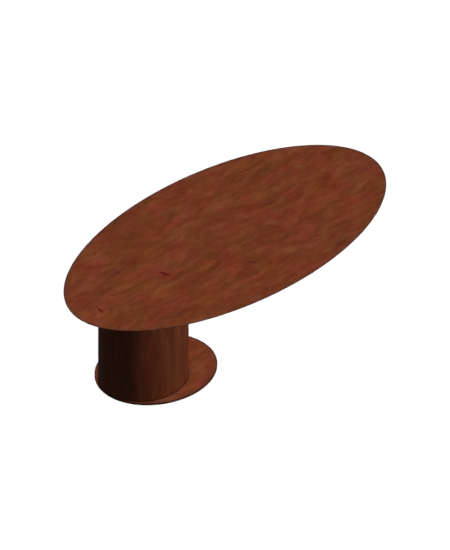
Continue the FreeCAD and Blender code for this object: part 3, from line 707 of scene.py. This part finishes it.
def polar_ring(centre, z, steps, reach):
    """Points round an upright axis, as far out as reach says for each turn."""
    points = []
    for k in range(steps):
        turn = math.tau * k / steps
        out = reach(turn)
        points.append((centre[0] + out * math.cos(turn), centre[1] + out * math.sin(turn), z))
    return points


def circle_ring(centre, radius, z):
    return polar_ring(centre, z, BOLT_STEPS, lambda turn: radius)


def hexagon_ring(centre, width, z):
    """A hexagon this wide across its flats, with as many points as the circle round it."""
    def reach(turn):
        off_flat = (turn + math.pi / 6) % (math.pi / 3) - math.pi / 6
        return width / 2 / math.cos(off_flat)

    return polar_ring(centre, z, BOLT_STEPS, reach)


def socket_bolt(centre, profile, socket):
    """Rings of one bolt, from the shank's end down to the head, with a hexagon socket in the head."""
    width, depth = socket
    tip, face = profile[0][1], profile[-1][1]
    return [
        [(*centre, tip)],
        *(circle_ring(centre, radius, z) for radius, z in profile),
        circle_ring(centre, width * SOCKET_MOUTH, face),
        hexagon_ring(centre, width, face + width * SOCKET_LEAD),
        hexagon_ring(centre, width, face + depth),
        [(*centre, face + depth * SOCKET_FLOOR)],
    ]


def make_beam_bolts():
    """Button heads under the two beams."""
    low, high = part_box("beam_bolts")
    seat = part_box("top_core")[0].z
    first, last = low.x + BUTTON_RADIUS, high.x - BUTTON_RADIUS
    places = [first + (last - first) * k / (BEAM_BOLT_ROW - 1) for k in range(BEAM_BOLT_ROW)]
    sides = (low.y + BUTTON_RADIUS, high.y - BUTTON_RADIUS)
    rise = seat - low.z - BUTTON_RIM
    dome = []
    for k in range(ROUND_STEPS + 1):
        turn = math.pi / 2 * k / ROUND_STEPS
        spread = BUTTON_RADIUS * (BUTTON_CROWN + (1 - BUTTON_CROWN) * math.cos(turn))
        dome.append((spread, seat - BUTTON_RIM - rise * math.sin(turn)))
    profile = [
        (BOLT_RADIUS * BUTTON_TIP, high.z),
        (BOLT_RADIUS, high.z - BUTTON_CHAMFER),
        (BOLT_RADIUS, seat),
        (BUTTON_RADIUS, seat),
        *dome,
    ]
    bolts = [socket_bolt((x, y), profile, BUTTON_SOCKET) for y in sides for x in places]
    piece = loft("beam_button_bolts", bolts)
    dress(piece, "zinc_steel", "table", "beam_bolts")


def make_sunk_bolts(name, node, count, sizes):
    """Countersunk bolts, flush with the plate's underside, in a ring round the drum's centre."""
    low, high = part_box(node)
    middle = outline_of("drum_shell").centre_x
    radius, head, socket = sizes
    angles = [math.tau * (k + 0.5) / count for k in range(count)]
    half_x = (high.x - middle - head) / max(math.cos(angle) for angle in angles)
    half_y = (high.y - head) / max(math.sin(angle) for angle in angles)
    profile = [
        (radius * (1 - SUNK_CHAMFER), high.z),
        (radius, high.z - radius * SUNK_CHAMFER),
        (radius, low.z + head - radius + SUNK_LAND),
        (head, low.z + SUNK_LAND),
        (head, low.z),
    ]
    bolts = []
    for angle in angles:
        centre = (middle + half_x * math.cos(angle), half_y * math.sin(angle))
        bolts.append(socket_bolt(centre, profile, socket))
    piece = loft(name, bolts)
    dress(piece, "zinc_steel", "table", node)


def axis_of(low, high):
    """Centre and radius of an upright round piece in this box."""
    return ((low.x + high.x) / 2, (low.y + high.y) / 2), (high.x - low.x) / 2


def fluted_ring(centre, radius, z, depth):
    def reach(turn):
        return radius - depth * (0.5 - 0.5 * math.cos(PAD_FLUTES * turn))

    return polar_ring(centre, z, PAD_FLUTES * FLUTE_STEPS, reach)


def make_pad(number):
    """A moulded foot with a fluted rim, to be turned by hand."""
    low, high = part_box(f"leveller_{number}_pad")
    stud_low, stud_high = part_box(f"leveller_{number}_stud")
    centre, radius = axis_of(low, high)
    bore = axis_of(stud_low, stud_high)[1]
    profile = [(bore, stud_low.z, 0.0), (bore, high.z, 0.0)]
    for inset, drop, flute in PAD_UPPER_EDGE:
        profile.append((radius - inset * PAD_ROUND, high.z - drop * PAD_ROUND, flute * PAD_FLUTE))
    for inset, rise, flute in PAD_LOWER_EDGE:
        profile.append((radius - inset * PAD_SLOPE, low.z + rise * PAD_SLOPE, flute * PAD_FLUTE))
    profile.append((radius * PAD_SOLE, low.z, 0.0))
    fluted = [fluted_ring(centre, reach, z, depth) for reach, z, depth in profile]
    rings = [[(*centre, stud_low.z)], *fluted, [(*centre, low.z)]]
    piece = loft(f"leveller_foot_{number}", [rings])
    dress(piece, "pad_nylon", f"leveller_{number}", f"leveller_{number}_pad")


def thread_ring(centre, radius, z, turns, fade):
    """A ring of a threaded stud, this many turns up it; fade is the share of the thread's depth."""
    outer = radius - STUD_THREAD * (1 - fade)

    def reach(turn):
        phase = (turns - turn / math.tau) % 1.0
        return outer - STUD_THREAD * fade * abs(2 * phase - 1)

    return polar_ring(centre, z, BOLT_STEPS, reach)


def make_stud(number):
    """A stud with its thread cut on it, which runs out at both ends."""
    low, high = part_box(f"leveller_{number}_stud")
    centre, radius = axis_of(low, high)
    length = high.z - low.z
    count = round(length / STUD_PITCH * THREAD_STEPS)
    rings = [[(*centre, low.z)]]
    for step in range(count + 1):
        rise = length * step / count
        fade = min(1.0, step / THREAD_STEPS, (count - step) / THREAD_STEPS)
        rings.append(thread_ring(centre, radius, low.z + rise, rise / STUD_PITCH, fade))
    rings.append([(*centre, high.z)])
    piece = loft(f"leveller_screw_{number}", [rings], sharp=THREAD_SHARP)
    dress(piece, "zinc_steel", f"leveller_{number}", f"leveller_{number}_stud")


def dress_nodes():
    """The finish of every node that still shows, by the record's own slots."""
    slots = {part["node"]: part["material_slot"] for part in frame["record"]["subparts"]}
    for name, item in nodes.items():
        if item.hide_render:
            continue
        item.data.materials.clear()
        item.data.materials.append(FINISHES[slots[name]])


def make_floor():
    finish = Finish("pale_floor", Roughness=0.9, Specular_IOR_Level=0.0)
    place = finish.node("TexCoord").outputs["Object"]
    cloud = finish.noise(place, even(FLOOR_CELLS), detail=2)
    finish.feed("Base Color", finish.ramp(cloud, two_tones(*FLOOR_TONES)))
    bpy.ops.mesh.primitive_plane_add(size=FLOOR_SIZE, location=(0, 0, 0))
    floor = bpy.context.object
    floor.name = "floor"
    floor.data.materials.append(finish.material)
    floor.visible_diffuse = False
    floor.visible_glossy = False
    return floor


def direction(azimuth, elevation):
    """Towards a light, from angles in degrees: azimuth right of the camera's side, and elevation."""
    a = VIEW_AZIMUTH + math.radians(azimuth)
    e = math.radians(elevation)
    return Vector((math.sin(a) * math.cos(e), -math.cos(a) * math.cos(e), math.sin(e)))


def gather(name, pieces):
    """A collection that a light is linked to."""
    members = bpy.data.collections.new(name)
    for piece in pieces:
        members.objects.link(piece)
    return members


def make_light(name, azimuth, elevation, strength, spread, glints=False, blockers=()):
    """A broad far light. Only the blockers cast its shadow."""
    light = bpy.data.lights.new(name, "SUN")
    light.energy = strength
    light.angle = math.radians(spread)
    light.use_shadow = bool(blockers)
    lamp = bpy.data.objects.new(name, light)
    lamp.rotation_mode = "QUATERNION"
    lamp.rotation_quaternion = direction(azimuth, elevation).to_track_quat("Z", "Y")
    lamp.visible_glossy = glints
    lamp.visible_diffuse = not glints
    bpy.context.scene.collection.objects.link(lamp)
    if blockers:
        lamp.light_linking.blocker_collection = gather(name + "_blockers", blockers)
    return lamp


def link_floor(lamp, floor, state):
    """With INCLUDE the light falls on the floor alone, and with EXCLUDE on all but the floor."""
    receivers = gather(lamp.name + "_receivers", [floor])
    lamp.light_linking.receiver_collection = receivers
    receivers.collection_objects[0].light_linking.link_state = state


def make_lights(floor, base):
    """The floor has a light of its own, so that the table's lights leave no shadow on it."""
    key = make_light("key", azimuth=80, elevation=58, strength=3.42, spread=8)
    link_floor(key, floor, "EXCLUDE")
    plate = [base, nodes["base_plate"]]
    floor_key = make_light("floor_key", azimuth=0, elevation=90, strength=3.0, spread=8, blockers=plate)
    link_floor(floor_key, floor, "INCLUDE")
    make_light("sheen", azimuth=80, elevation=58, strength=0.5, spread=60, glints=True)
    make_light("back", azimuth=180, elevation=15, strength=1.1, spread=2)
    make_light("floor_bounce", azimuth=0, elevation=-90, strength=0.55, spread=90)


def make_world():
    """White where the camera sees it, and a faint glow on the table."""
    world = bpy.data.worlds.new("studio")
    world.use_nodes = True
    bpy.context.scene.world = world
    tree = world.node_tree
    glow = tree.nodes["Background"]
    path = tree.nodes.new("ShaderNodeLightPath")
    level = tree.nodes.new("ShaderNodeMapRange")
    level.inputs["To Min"].default_value = WORLD_GLOW
    level.inputs["To Max"].default_value = 1.0
    tree.links.new(path.outputs["Is Camera Ray"], level.inputs["Value"])
    tree.links.new(level.outputs[0], glow.inputs["Strength"])
    glow.inputs["Color"].default_value = (1.0, 1.0, 1.0, 1.0)


def make_camera():
    camera = bpy.data.cameras.new("camera")
    camera.type = "ORTHO"
    camera.ortho_scale = VIEW_HEIGHT
    camera.clip_end = VIEW_DEPTH
    holder = bpy.data.objects.new("camera", camera)
    back = direction(0, math.degrees(VIEW_ELEVATION))
    holder.location = VIEW_AIM + back * VIEW_DISTANCE
    holder.rotation_mode = "QUATERNION"
    holder.rotation_quaternion = back.to_track_quat("Z", "Y")
    bpy.context.scene.collection.objects.link(holder)
    bpy.context.scene.camera = holder


make_top()
make_lipping()
make_drum()
base = make_base_skin()
make_beam_bolts()
make_sunk_bolts("foot_flush_bolts", "foot_bolts", FOOT_BOLTS, SUNK_BOLT)
make_sunk_bolts("ballast_flush_bolts", "ballast_bolts", BALLAST_BOLTS, SUNK_BOLT)
make_sunk_bolts("drum_flush_screws", "drum_screws", DRUM_SCREWS, SUNK_SCREW)
for leveller in range(1, LEVELLERS + 1):
    make_pad(leveller)
    make_stud(leveller)
dress_nodes()
floor = make_floor()
make_world()
make_lights(floor, base)
make_camera()
bpy.context.scene.view_settings.view_transform = "Standard"
